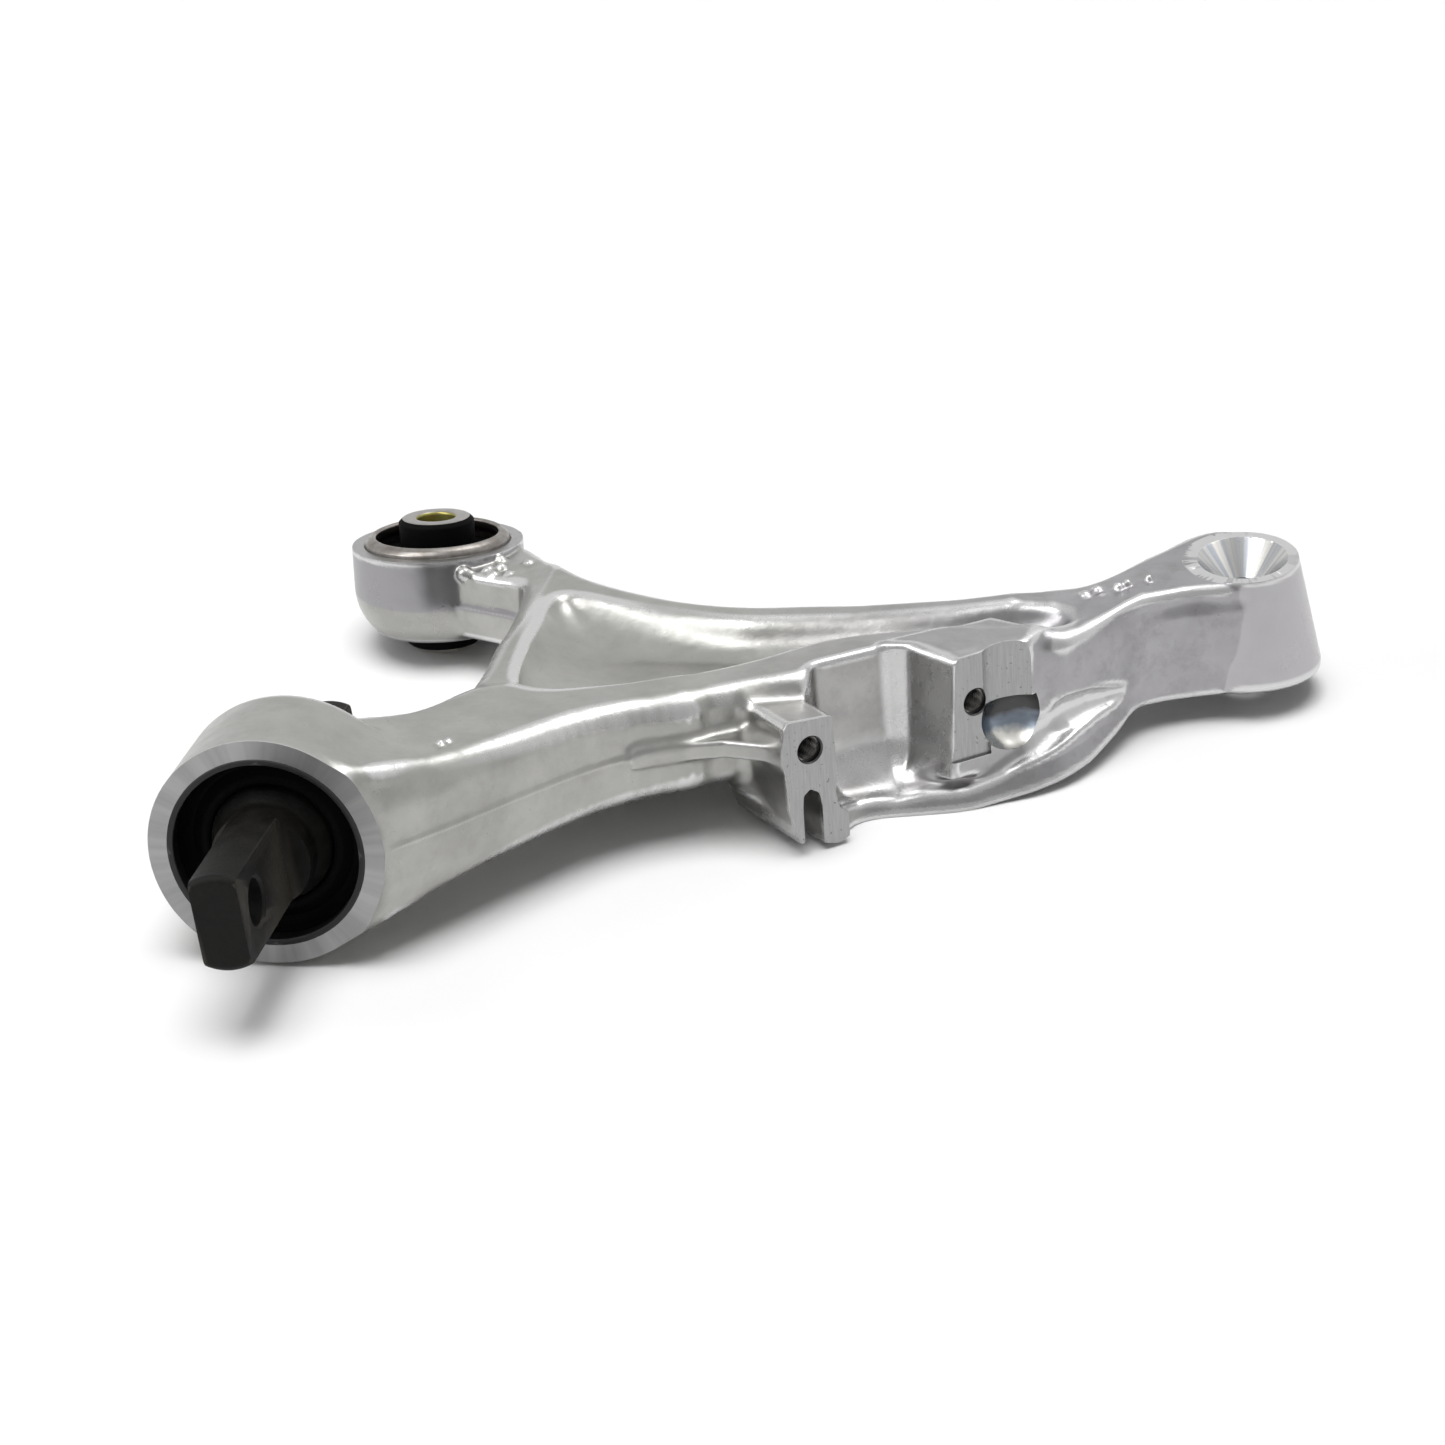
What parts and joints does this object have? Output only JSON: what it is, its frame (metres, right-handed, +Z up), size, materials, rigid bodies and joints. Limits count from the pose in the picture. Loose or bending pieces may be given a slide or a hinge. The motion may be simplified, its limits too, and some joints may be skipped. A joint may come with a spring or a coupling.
{
  "type": "automotive lower control arm",
  "caption": "Forged aluminium lower control arm with a horizontal bar pin bush, a vertical bush, a conical ball stud seat and a side bracket for the damper.",
  "frame": {"origin": "centre of the bar pin's front end face, on the line that the arm swings about", "axes": "+Y along the swing line from the bar pin bush to the vertical bush, +X outboard to the ball stud seat, +Z up along the forging die direction"},
  "size_m": [0.3515, 0.3164, 0.074],
  "materials": {
    "forged_aluminium": "satin shot-blasted forging with fine-milled faces",
    "coated_steel": "thin black e-coat",
    "black_rubber": "matte moulded",
    "black_steel": "black satin e-coat",
    "bright_steel": "turned",
    "zinc_steel": "yellow zinc passivated",
    "insert_steel": "bright coil"
  },
  "bodies": {
    "arm": {"arm_forging": "forged_aluminium", "bar_pin_bush_outer_sleeve": "coated_steel", "bar_pin_bush_rubber": "black_rubber", "vertical_bush_outer_sleeve": "bright_steel", "vertical_bush_rubber": "black_rubber", "damper_thread_insert_inboard": "insert_steel", "damper_thread_insert_outboard": "insert_steel"},
    "bar_pin_body": {"bar_pin": "black_steel"},
    "vertical_sleeve_body": {"vertical_bush_inner_sleeve": "zinc_steel"}
  },
  "joints": [
    {"name": "bar_pin_swing", "type": "hinge", "parent": "arm", "child": "bar_pin_body", "pos_m": [0, 0.0675, 0], "axis": [0, 1, 0], "range_deg": [-15, 15]},
    {"name": "vertical_sleeve_tilt", "type": "hinge", "parent": "arm", "child": "vertical_sleeve_body", "pos_m": [0, 0.2845, 0], "axis": [0, 1, 0], "range_deg": [-15, 15]}
  ],
  "couplings": [
    {"joint": "vertical_sleeve_tilt", "follows": "bar_pin_swing", "ratio": 1}
  ]
}
